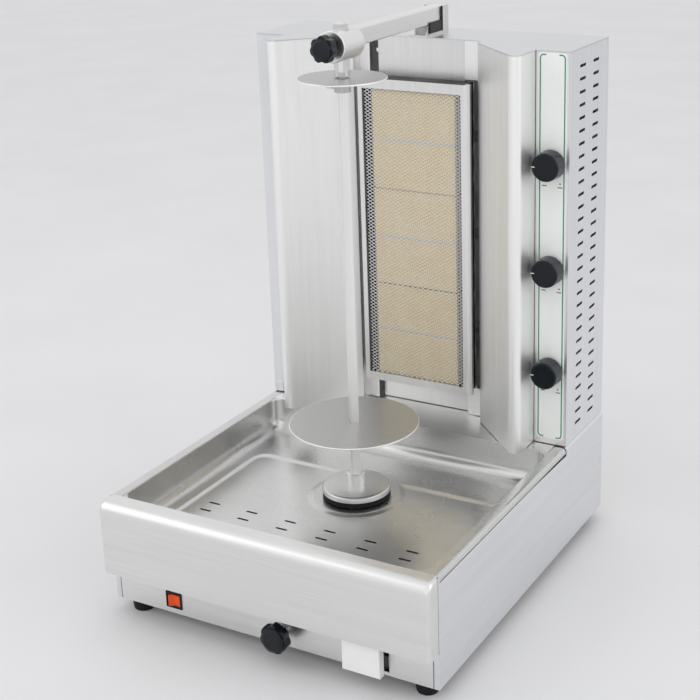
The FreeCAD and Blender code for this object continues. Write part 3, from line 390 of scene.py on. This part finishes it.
MATERIALS = {
    "steel_z": brushed("steel_vertical_grain", 2),
    "steel_x": brushed("steel_cross_grain", 0),
    "steel_y": brushed("steel_long_grain", 1),
    "side_z": brushed("steel_side_vertical_cool_light", 2, tint=COOL_LIGHT_TINT),
    "side_y": brushed("steel_side_long_cool_light", 1, tint=COOL_LIGHT_TINT),
    "apron": brushed("apron_steel_painted_seam_shade", 0, seam_shade=(APRON_EDGE.x - APRON_SEAM_SHADE, SIDE_FRONT.y - SIDE_GAP)),
    "plinth": brushed("plinth_steel_painted_seam_shade", 0, seam_shade=(PLINTH_EDGE.x - PLINTH_SEAM_SHADE, -1.0)),
    "shield": brushed("steel_shield", 2, bright=0.93, rough=0.42, spread=0.05),
    "lower_disc": brushed("lower_disc_steel_edge_highlight", 0, bright=0.50, rough=0.30, rim=LOWER_HIGHLIGHT_FROM),
    "upper_disc": brushed("upper_disc_steel_edge_highlight", 0, bright=0.50, rough=0.30, rim=UPPER_HIGHLIGHT_FROM),
    # Painted light: the cap's cool tint stands in for the bluish light on its top.
    "cap": brushed("cap_steel_cool_light", 0, bright=0.70, tint=(0.985, 0.998, 1.025)),
    "pan": pressed_sheet("pressed_pan_sheet"),
    "shaded_housing": shaded_housing("housing_steel_painted_shade"),
    "bracket": bracket_finish("bracket_steel_and_slider"),
    "ink": enamel("green_printing_ink", (0.005, 0.27, 0.12), 0.30),
    "red_ink": enamel("red_printing_ink", (0.55, 0.02, 0.02), 0.30),
    "grey_ink": enamel("grey_printing_ink", (0.13, 0.14, 0.14), 0.35),
    "galvanised": cast("galvanised_sheet", 0.50, 0.42),
    "rod": brushed("drawn_rod", 2, bright=0.86, rough=0.36),
    "machined": brushed("machined_steel", 2, bright=0.42, rough=0.30),
    "cast": cast("cast_aluminium", 0.74, 0.30, turned=True),
    "chrome": chrome("chrome_plate"),
    "brass": brass("machined_brass"),
    "black_gloss": knob_finish("glossy_black_knob_painted_wall_reflection"),
    "black_matt": plastic("semi_matt_black", (0.005, 0.008, 0.013), 0.30, 0.08, shine=0.30),
    "rubber": plastic("matt_rubber", (0.008, 0.008, 0.009), 0.55, 0.25, shine=0.2),
    "white": enamel("white_enamel", (0.90, 0.90, 0.89), 0.30),
    "label": enamel("white_label_film", (0.93, 0.95, 0.93), 0.20),
    "rocker": plastic("orange_rocker", (0.95, 0.085, 0.004), 0.30, 0.03, coat=0.2, shine=0.3),
    "ceramic": ceramic("pierced_ceramic"),
    "motor": enamel("black_motor_paint", (0.03, 0.03, 0.033), 0.38),
}
FINISH = {
    "stainless": "steel_z", "steel_galv": "galvanised", "steel_rod": "rod",
    "gear_steel": "machined", "cast_alu": "cast", "chrome": "chrome", "brass": "brass",
    "black_knob": "black_gloss", "star_knob": "black_matt", "rubber": "rubber",
    "seal": "rubber", "white_front": "white", "label": "label", "rocker": "rocker",
    "switch_black": "black_matt", "ceramic": "ceramic", "motor_paint": "motor",
}
OWN_FINISH = {
    "drip_pan": "pan", "front_apron": "apron", "plinth_front": "plinth",
    "tower_top_cap": "cap", "rear_deck": "steel_x", "arm_bar": "steel_y",
    "head_block": "steel_y", "base_left_panel": "side_y", "base_right_panel": "side_y",
    "tower_left_panel": "side_z", "tower_right_panel": "side_z",
    "lower_disc": "lower_disc", "upper_disc": "upper_disc",
    "left_shield": "shield", "right_shield": "shield", "grease_drawer": "steel_y",
    "arm_bracket": "bracket", "burner_housing": "shaded_housing", "gas_manifold": "galvanised",
}
for node, slot in SLOT_OF.items():
    thing = frame["nodes"][node]
    material = MATERIALS[OWN_FINISH.get(node, FINISH[slot])]
    thing.data.materials.clear()
    thing.data.materials.append(material)


# ---------------------------------------------------------------- detail pieces
def mesh_from(bm, name):
    mesh = bpy.data.meshes.new(name)
    bm.to_mesh(mesh)
    bm.free()
    return mesh


def add_piece(name, mesh, body, material):
    """A new piece in the row frame that rides on a body."""
    thing = bpy.data.objects.new(name, mesh)
    bpy.context.scene.collection.objects.link(thing)
    mesh.materials.append(MATERIALS[material])
    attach(thing, body)
    return thing


def expanded_metal():
    """The fine guard grid: one sheet of diamonds, given its thickness by a modifier."""
    low, high, _ = box_of("burner_mesh")
    half_w, half_h = 4.6e-3, 2.8e-3     # half a diamond, across and up
    strand = 0.21                       # width of a strand, as a part of half a diamond
    sheet = 0.6e-3                      # its thickness
    columns = int((high.x - low.x) / half_w)
    rows = int((high.z - low.z) / half_h)
    x0 = (low.x + high.x) / 2 - columns * half_w / 2
    z0 = low.z + ((high.z - low.z) - rows * half_h) / 2
    y = (low.y + high.y) / 2
    bm = bmesh.new()
    corners = {}

    def corner(i, j):
        if (i, j) not in corners:
            corners[i, j] = bm.verts.new((x0 + i * half_w, y, z0 + j * half_h))
        return corners[i, j]

    for i in range(1, columns):
        for j in range(1, rows):
            if (i + j) % 2 == 0:
                continue
            centre = Vector((x0 + i * half_w, y, z0 + j * half_h))
            outer = [corner(i + 1, j), corner(i, j + 1), corner(i - 1, j), corner(i, j - 1)]
            inner = [bm.verts.new(centre + (v.co - centre) * (1 - strand)) for v in outer]
            for k in range(4):
                bm.faces.new((outer[k], outer[(k + 1) % 4], inner[(k + 1) % 4], inner[k]))
    bm.normal_update()
    grid = add_piece("guard_grid", mesh_from(bm, "guard_grid"), "cabinet", "rod")
    thick = grid.modifiers.new("thickness", "SOLIDIFY")
    thick.thickness = sheet
    thick.offset = 0.0
    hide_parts("burner_mesh")


expanded_metal()


PAN_BEND = 0.020            # radius of the pan's inner corners, on plan and at the floor
FLOOR_DROP = 0.0524         # from the tub's mouth down to the pan's raised floor
PAN_SHEET = 0.0012          # thickness of the pan's sheet
WALL_SIDE, WALL_FRONT, WALL_REAR = 0.020, 0.014, 0.024      # from the pan's outline in to its walls
FLANGE_DROP = 0.0016        # from the side rims' top down to the flange round the tub's mouth
FLANGE = 0.004              # width of that flange
POCKET_DEPTH = 0.0022
POCKET_START = 0.006        # from the front bend to the pocket
POCKET_CORNER = 0.022       # radius of the pocket's rear corners
POCKET_BLEND = 0.016        # rounding where the pocket's edge meets the boss
POCKET_STEP = (-0.0035, 0.0045)     # where the pressed step starts and ends, inwards from that edge
POCKET_MARGIN = 0.033       # from the wall to the pocket's edge
POCKET_REAR = 0.0195        # y of the pocket's rear edge
BOSS_R = 0.070              # raised ring round the turntable
GRID_STEP = 0.0021          # between the points of the floor's mesh
SKIN_INSET = 0.0003         # how far the side rims' skin lies inside the CAD pan's faces
REAR_GAP = 0.0002           # the same at the side rims' rear ends
RIM_FOLD, RIM_SHOULDER = 0.002, 0.0062      # radii of a side rim's inner and outer fold
RIM_HEM = 0.0087            # from the rim's top down to its hem
SLOT_FIRST, SLOT_PITCH = -0.18133, 0.06829  # x of the drain slots' first column, and between columns
SLOT_COLUMNS = 6
SLOT_ROWS = (-0.18157, -0.15743)            # y of its two rows
SLOT_RUN, SLOT_R = 0.008, 0.002             # half a slot's straight length, and the radius of its ends
SHAFT_TRAVEL, SHAFT_SLOT_R = 0.030, 0.0112  # length and end radius of the slot the drive shaft moves in
CUT = 0.02                  # how far the slots' cutters reach above and below the floor
SMOOTH_BELOW = math.radians(35)


def smooth_step(value, low, high):
    t = min(1.0, max(0.0, (value - low) / (high - low)))
    return t * t * (3 - 2 * t)


def pocket_depth(x, y, half_width, front):
    """How far the floor is pressed down at a point: a pocket in front of the turntable's boss."""
    from_side = half_width - POCKET_MARGIN - abs(x)
    inside_x, inside_y = from_side - POCKET_CORNER, POCKET_REAR - POCKET_CORNER - y
    if inside_x < 0 and inside_y < 0:
        within = POCKET_CORNER - math.hypot(inside_x, inside_y)
    else:
        within = min(from_side, POCKET_REAR - y)
    within = min(within, y - front)
    from_boss = math.hypot(x - SPIT.x, y - SPIT.y) - BOSS_R
    h = min(1.0, max(0.0, 0.5 + 0.5 * (from_boss - within) / POCKET_BLEND))
    edge = from_boss + (within - from_boss) * h - POCKET_BLEND * h * (1 - h)
    return POCKET_DEPTH * smooth_step(edge, *POCKET_STEP)


def tub_levels(depth):
    """Inset and height below the rim, from the rim down the wall and round the bend."""
    upper, lower = 0.010, (depth - PAN_BEND) / 2 + 0.005        # two rings on the straight wall
    levels = [(0.0, 0.0), (0.0, upper), (0.0, lower)]
    for k in range(11):
        angle = math.pi / 2 * k / 10
        levels.append((PAN_BEND * (1 - math.cos(angle)), depth - PAN_BEND * (1 - math.sin(angle))))
    return levels


def pan_tub(bm, low, high):
    """The tub: a fine floor grid, its bend and walls, and a flat flange round its mouth."""
    half, rim = high.x - WALL_SIDE, high.z - FLANGE_DROP
    front, rear = low.y + WALL_FRONT, high.y - WALL_REAR
    x_count = round(2 * (half - PAN_BEND) / GRID_STEP)
    y_count = round((rear - front - 2 * PAN_BEND) / GRID_STEP)
    xs = [-half + PAN_BEND + 2 * (half - PAN_BEND) * i / x_count for i in range(x_count + 1)]
    ys = [front + PAN_BEND + (rear - front - 2 * PAN_BEND) * j / y_count for j in range(y_count + 1)]
    floor = rim - FLOOR_DROP
    pocket_front = front + PAN_BEND + POCKET_START
    grid = [[bm.verts.new((x, y, floor - pocket_depth(x, y, half, pocket_front))) for y in ys] for x in xs]
    for i in range(x_count):
        for j in range(y_count):
            bm.faces.new((grid[i][j], grid[i + 1][j], grid[i + 1][j + 1], grid[i][j + 1]))
    corner_steps = 8
    stops = []
    for centre, start, line in (
        ((xs[-1], ys[-1]), 0.0, [grid[i][-1] for i in range(x_count, -1, -1)]),
        ((xs[0], ys[-1]), 0.5, [grid[0][j] for j in range(y_count, -1, -1)]),
        ((xs[0], ys[0]), 1.0, [grid[i][0] for i in range(x_count + 1)]),
        ((xs[-1], ys[0]), 1.5, [grid[-1][j] for j in range(y_count + 1)]),
    ):
        for k in range(corner_steps):
            stops.append((centre, math.pi * (start + 0.5 * k / corner_steps), line[0]))
        for vertex in line[:-1]:
            stops.append((vertex.co.xy.to_tuple(), math.pi * (start + 0.5), vertex))
    ring = [stop[2] for stop in stops]
    for inset, drop in reversed(tub_levels(FLOOR_DROP)[:-1]):
        radius = PAN_BEND - inset
        above = [bm.verts.new((c[0] + radius * math.cos(a), c[1] + radius * math.sin(a), rim - drop))
                 for c, a, _ in stops]
        join_rings(bm, ring, above)
        ring = above
    edge = []
    for (cx, cy), angle, _ in stops:
        reach = (PAN_BEND + FLANGE) / max(abs(math.cos(angle)), abs(math.sin(angle)))
        edge.append(bm.verts.new((cx + reach * math.cos(angle), cy + reach * math.sin(angle), rim)))
    join_rings(bm, ring, edge)


def join_rings(bm, inner, outer):
    for k in range(len(inner)):
        n = (k + 1) % len(inner)
        corners = [inner[k], outer[k], outer[n]]
        if inner[n] is not inner[k]:
            corners.append(inner[n])
        bm.faces.new(corners)


def pan_rim(bm, side, low, high):
    """A folded side rim: up out of the tub, flat, and down over the side panel."""
    half, outer = high.x - WALL_SIDE - SKIN_INSET, high.x - SKIN_INSET
    top, bottom = high.z - SKIN_INSET, high.z - RIM_HEM
    profile = [(half, top - 2 * RIM_FOLD)]
    profile += [(half + RIM_FOLD * (1 - math.cos(a)), top - RIM_FOLD * (1 - math.sin(a)))
                for a in (0.0, 0.5, 1.05, math.pi / 2)]
    profile += [(outer - RIM_SHOULDER * (1 - math.sin(a)), top - RIM_SHOULDER * (1 - math.cos(a)))
                for a in [math.pi / 20 * k for k in range(11)]]
    profile.append((outer, bottom))
    ends = (low.y + WALL_FRONT + SKIN_INSET, high.y - REAR_GAP)
    rows = [[bm.verts.new((side * x, y, z)) for x, z in profile] for y in ends]
    for k in range(len(profile) - 1):
        bm.faces.new((rows[0][k], rows[0][k + 1], rows[1][k + 1], rows[1][k]))


def capsule(bm, x, y0, y1, x_half, radius, z0, z1):
    """A long hole's cutter: along X if x_half is set, else from y0 to y1."""
    ring = []
    for k in range(16):
        angle = 2 * math.pi * (k + 0.5) / 16
        px = x + radius * math.cos(angle) + math.copysign(x_half, math.cos(angle))
        py = (y1 if math.sin(angle) > 0 else y0) + radius * math.sin(angle)
        ring.append((px, py))
    bottom = [bm.verts.new((px, py, z0)) for px, py in ring]
    top = [bm.verts.new((px, py, z1)) for px, py in ring]
    bm.faces.new(bottom[::-1])
    bm.faces.new(top)
    join_rings(bm, bottom, top)


def drip_pan_skin():
    """The pressed pan in fine mesh, its drain slots and the shaft's slot cut through."""
    low, high, _ = box_of("drip_pan")
    bm = bmesh.new()
    pan_tub(bm, low, high)
    for side in (-1, 1):
        pan_rim(bm, side, low, high)
    bmesh.ops.recalc_face_normals(bm, faces=bm.faces)
    sheet = bpy.data.objects.new("pan_sheet", mesh_from(bm, "pan_sheet"))
    thick = sheet.modifiers.new("thickness", "SOLIDIFY")
    thick.thickness = PAN_SHEET
    thick.offset = -1.0
    cutter_bm = bmesh.new()
    z0, z1 = high.z - FLOOR_DROP - CUT, high.z - FLOOR_DROP + CUT
    for column in range(SLOT_COLUMNS):
        x = SLOT_FIRST + SLOT_PITCH * column
        for y in SLOT_ROWS:
            capsule(cutter_bm, x, y, y, SLOT_RUN, SLOT_R, z0, z1)
    capsule(cutter_bm, SPIT.x, SPIT.y - SHAFT_TRAVEL, SPIT.y, 0.0, SHAFT_SLOT_R, z0, z1)
    cutter = bpy.data.objects.new("slot_cutter", mesh_from(cutter_bm, "slot_cutter"))
    for thing in (sheet, cutter):
        bpy.context.scene.collection.objects.link(thing)
    slots = sheet.modifiers.new("slots", "BOOLEAN")
    slots.object = cutter
    slots.operation = "DIFFERENCE"
    slots.solver = "EXACT"
    graph = bpy.context.evaluated_depsgraph_get()
    finished = bpy.data.meshes.new_from_object(sheet.evaluated_get(graph))
    finished.name = "drip_pan_skin"
    for thing in (sheet, cutter):
        bpy.data.objects.remove(thing)
    finished.polygons.foreach_set("use_smooth", [True] * len(finished.polygons))
    finished.set_sharp_from_angle(angle=SMOOTH_BELOW)
    finished.materials.clear()
    pan = add_piece("drip_pan_skin", finished, "cabinet", "pan")
    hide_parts("drip_pan")


drip_pan_skin()


def ribbon(bm, points, width, y, thickness):
    """A flat printed line through points in the XZ plane, facing the front."""
    sides = ([], [])
    for k, (x, z) in enumerate(points):
        before, after = points[max(k - 1, 0)], points[min(k + 1, len(points) - 1)]
        direction = Vector((after[0] - before[0], after[1] - before[1])).normalized()
        across = Vector((-direction.y, direction.x)) * width / 2
        for side, sign in zip(sides, (-1, 1)):
            side.append((x + sign * across.x, z + sign * across.y))
    outline = sides[0] + sides[1][::-1]
    count = len(points)
    front = [bm.verts.new((x, y - thickness, z)) for x, z in outline]
    back = [bm.verts.new((x, y, z)) for x, z in outline]
    for layer in (front, back):
        for k in range(count - 1):
            bm.faces.new((layer[k], layer[k + 1], layer[-k - 2], layer[-k - 1]))
    join_rings(bm, front, back)


def blot(bm, x, z, half_length, radius, y, thickness):
    """A small printed dot or bar with round ends."""
    ring = []
    for k in range(20):
        angle = 2 * math.pi * (k + 0.5) / 20
        ring.append((x + radius * math.cos(angle) + math.copysign(half_length, math.cos(angle)),
                     z + radius * math.sin(angle)))
    front = [bm.verts.new((px, y - thickness, pz)) for px, pz in ring]
    back = [bm.verts.new((px, y, pz)) for px, pz in ring]
    bm.faces.new(front)
    bm.faces.new(back[::-1])
    join_rings(bm, front, back)


def printed(name, bm, material, body="cabinet"):
    bmesh.ops.recalc_face_normals(bm, faces=bm.faces)
    add_piece(name, mesh_from(bm, name), body, material)


PRINT = 0.00012             # thickness of the printing
LINE = 0.0019               # width of the green line
DOT_R, BAR_R = 0.0014, 0.0008
BAR_HALF = 0.0030           # half a bar's straight length
DOT_PLACE = (0.0135, -0.0290)       # across and up from the knob's axis
BAR_PLACES = ((-0.0115, -0.0335), (0.0135, -0.0345))
KNOBS = (1, 2, 3)


def label_print():
    """Two green brackets along the label's edges, and dots and bars under each knob."""
    low, high, middle = box_of("control_label")
    corner_r, hook, inset = 0.005, 0.009, 0.0030
    bm = bmesh.new()
    for side in (-1, 1):
        edge = middle.x + side * ((high.x - low.x) / 2 - inset)
        points = []
        for z, up in ((high.z - inset, -1), (low.z + inset, 1)):
            arc = [(edge - side * corner_r * (1 - math.cos(a)), z + up * corner_r * (1 - math.sin(a)))
                   for a in (math.pi / 2, 1.18, 0.79, 0.39, 0.0)]
            run = [(edge - side * hook, z)] + arc
            points += run if up == -1 else run[::-1]
        ribbon(bm, points, LINE, low.y, PRINT)
    printed("label_brackets", bm, "ink")
    dots, bars = bmesh.new(), bmesh.new()
    for k in KNOBS:
        _, _, knob = box_of("knob_%d" % k)
        blot(dots, knob.x + DOT_PLACE[0], knob.z + DOT_PLACE[1], 0.0, DOT_R, low.y, PRINT)
        for across, up in BAR_PLACES:
            blot(bars, knob.x + across, knob.z + up, BAR_HALF, BAR_R, low.y, PRINT)
    printed("label_dots", dots, "red_ink")
    printed("label_bars", bars, "grey_ink")


label_print()


POINTER_PLACE, POINTER_HALF = 0.80, 0.09    # its middle and half its length, as parts of the knob's radius
POINTER_R = 0.0007
POINTER_THICK, POINTER_BED = 0.0003, 0.0001     # the bed is how deep it sits in the face


def knob_pointer(k):
    """The short white mark on a control knob's face."""
    low, high, middle = box_of("knob_%d" % k)
    radius = (high.z - low.z) / 2
    bm = bmesh.new()
    blot(bm, middle.x - radius * POINTER_PLACE, middle.z, radius * POINTER_HALF, POINTER_R,
         low.y + POINTER_BED, POINTER_THICK)
    printed("knob_pointer_%d" % k, bm, "white", "knob_%d" % k)


for number in KNOBS:
    knob_pointer(number)


# ---------------------------------------------------------------- floor, light and camera
def floor_material():
    g = Graph("pale_floor")
    tone = g.noise(g.coords, 3.0, 3.0)
    g.colour(g.ramp(tone, [(0.3, (0.77, 0.77, 0.78)), (0.7, (0.80, 0.80, 0.81))]))
    g.set(Roughness=0.75)
    return g.material


FLOOR_HALF = 12.0


def floor():
    bm = bmesh.new()
    bmesh.ops.create_grid(bm, x_segments=1, y_segments=1, size=FLOOR_HALF)
    mesh = mesh_from(bm, "floor")
    mesh.materials.append(floor_material())
    thing = bpy.data.objects.new("floor", mesh)
    bpy.context.scene.collection.objects.link(thing)


floor()


def soft_box(name, location, target, size, watts):
    light = bpy.data.lights.new(name, "AREA")
    light.shape = "RECTANGLE"
    light.size, light.size_y = size
    light.energy = watts
    lamp = bpy.data.objects.new(name, light)
    lamp.location = location
    aim = Vector(target) - Vector(location)
    lamp.rotation_euler = aim.to_track_quat("-Z", "Y").to_euler()
    bpy.context.scene.collection.objects.link(lamp)


soft_box("key_left", (-2.2, -1.6, 1.9), (0, 0, 0.45), (2.2, 2.4), 9)
soft_box("fill_right", (2.6, 0.2, 1.6), (0, 0, 0.4), (1.8, 2.4), 9)
soft_box("top", (0.0, -0.6, 3.2), (0, 0, 0.3), (4.5, 4.0), 5)
soft_box("front", (0.9, -3.0, 1.3), (0, 0, 0.35), (4.2, 2.6), 7)

ROOM_COLOUR = (0.96, 0.96, 0.965, 1.0)
ROOM_STRENGTH = 0.90
world = bpy.data.worlds.new("studio")
world.use_nodes = True
background = world.node_tree.nodes["Background"]
background.inputs["Color"].default_value = ROOM_COLOUR
background.inputs["Strength"].default_value = ROOM_STRENGTH
bpy.context.scene.world = world

# The camera: place in the row frame, heading (from +Y towards +X), tilt and roll in degrees,
# and focal length and image centre as fractions of the image's width.
CAMERA_PLACE = (1.025, -1.741, 1.130)
CAMERA_HEADING, CAMERA_TILT, CAMERA_ROLL = -28.88, -17.31, -1.36
CAMERA_FOCAL = 2.0407
CAMERA_SHIFT = (-0.0718, -0.1306)
SENSOR = 36.0
CAMERA_REACH = 60.0         # how far it sees


def aim_camera():
    heading, tilt, roll = (math.radians(a) for a in (CAMERA_HEADING, CAMERA_TILT, CAMERA_ROLL))
    ahead = Vector((math.sin(heading) * math.cos(tilt), math.cos(heading) * math.cos(tilt),
                    math.sin(tilt)))
    right = Vector((math.cos(heading), -math.sin(heading), 0))
    up = right.cross(ahead)
    right, up = (right * math.cos(roll) + up * math.sin(roll),
                 up * math.cos(roll) - right * math.sin(roll))
    data = bpy.data.cameras.new("camera")
    data.sensor_width = SENSOR
    data.lens = CAMERA_FOCAL * SENSOR
    data.shift_x, data.shift_y = CAMERA_SHIFT
    data.clip_end = CAMERA_REACH
    camera = bpy.data.objects.new("camera", data)
    turn = Matrix((right, up, -ahead)).transposed().to_4x4()
    camera.matrix_world = Matrix.Translation(CAMERA_PLACE) @ turn
    bpy.context.scene.collection.objects.link(camera)
    bpy.context.scene.camera = camera


aim_camera()
bpy.context.scene.view_settings.view_transform = "Standard"
